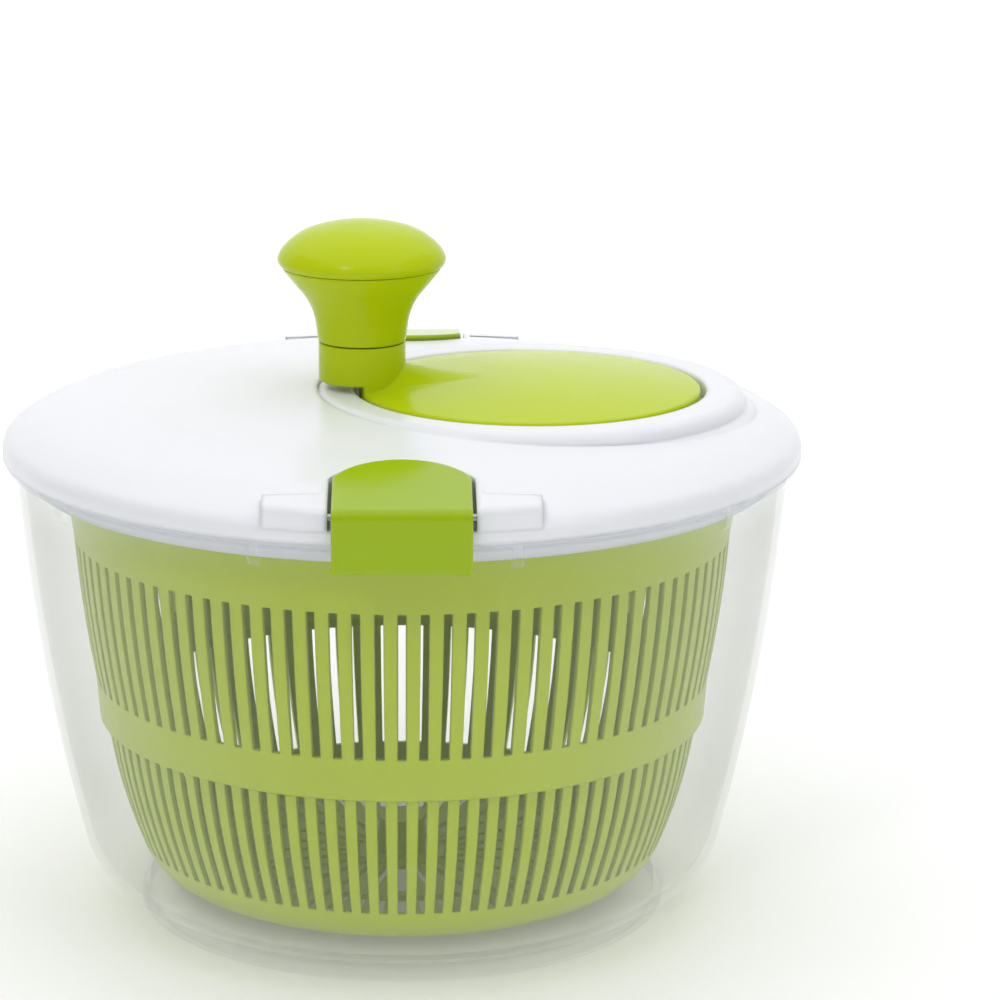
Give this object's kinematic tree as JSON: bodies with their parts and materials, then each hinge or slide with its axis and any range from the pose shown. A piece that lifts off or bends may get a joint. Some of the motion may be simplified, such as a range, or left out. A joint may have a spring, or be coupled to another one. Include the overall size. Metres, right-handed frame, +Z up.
{
  "type": "salad spinner",
  "caption": "Crank salad spinner: clear bowl, slotted basket, and a geared clip-on lid whose offset disc and knob spin the basket",
  "frame": {"origin": "centre of the bowl's foot, on the surface it stands on", "axes": "+Z up; -Y towards the front clip, +Y towards the rear clip; the crank disc's axis is offset towards +X"},
  "size_m": [0.25, 0.2558, 0.2184],
  "materials": {
    "bowl_clear": "clear glossy moulded plastic",
    "basket_green": "semi-gloss lime green polypropylene",
    "lid_white": "satin-gloss white plastic",
    "crank_green": "high-gloss lime green plastic",
    "clip_green": "high-gloss lime green plastic",
    "gear_white": "moulded acetal",
    "inner_white": "satin moulded plastic",
    "steel": "zinc-plated steel"
  },
  "bodies": {
    "bowl": {"bowl": "bowl_clear"},
    "basket": {"basket": "basket_green"},
    "lid": {"lid_shell": "lid_white", "gear_cover": "inner_white", "gear_cover_screws": "steel", "crank_bush": "gear_white", "pinion_bush": "gear_white", "front_clip_pin": "steel", "rear_clip_pin": "steel"},
    "crank": {"crank_disc": "crank_green", "drive_gear": "gear_white", "crank_washer": "steel", "crank_screw": "steel", "knob_screw": "steel", "knob_washer": "steel"},
    "knob": {"knob_body": "crank_green", "knob_cap": "crank_green"},
    "carrier": {"drive_pinion": "gear_white", "basket_carrier": "inner_white", "carrier_washer": "steel", "carrier_screw": "steel"},
    "front_clip": {"front_clip": "clip_green"},
    "rear_clip": {"rear_clip": "clip_green"}
  },
  "joints": [
    {"name": "lid_lift", "type": "slide", "parent": "bowl", "child": "lid", "axis": [0, 0, 1], "range_m": [0, 0.12]},
    {"name": "basket_spin", "type": "hinge", "parent": "bowl", "child": "basket", "pos_m": [0, 0, 0.022], "axis": [0, 0, 1], "continuous": true},
    {"name": "crank_spin", "type": "hinge", "parent": "lid", "child": "crank", "pos_m": [0.04, 0, 0.16], "axis": [0, 0, 1], "continuous": true},
    {"name": "knob_spin", "type": "hinge", "parent": "crank", "child": "knob", "pos_m": [-0.0125, 0, 0.19], "axis": [0, 0, 1], "continuous": true},
    {"name": "carrier_spin", "type": "hinge", "parent": "lid", "child": "carrier", "pos_m": [0, 0, 0.15], "axis": [0, 0, 1], "continuous": true},
    {"name": "front_clip_rock", "type": "hinge", "parent": "lid", "child": "front_clip", "pos_m": [0, -0.1205, 0.1545], "axis": [-1, 0, 0], "range_deg": [0, 15]},
    {"name": "rear_clip_rock", "type": "hinge", "parent": "lid", "child": "rear_clip", "pos_m": [0, 0.1205, 0.1545], "axis": [1, 0, 0], "range_deg": [0, 15]}
  ],
  "couplings": [
    {"joint": "carrier_spin", "follows": "crank_spin", "ratio": -3},
    {"joint": "basket_spin", "follows": "crank_spin", "ratio": -3}
  ]
}
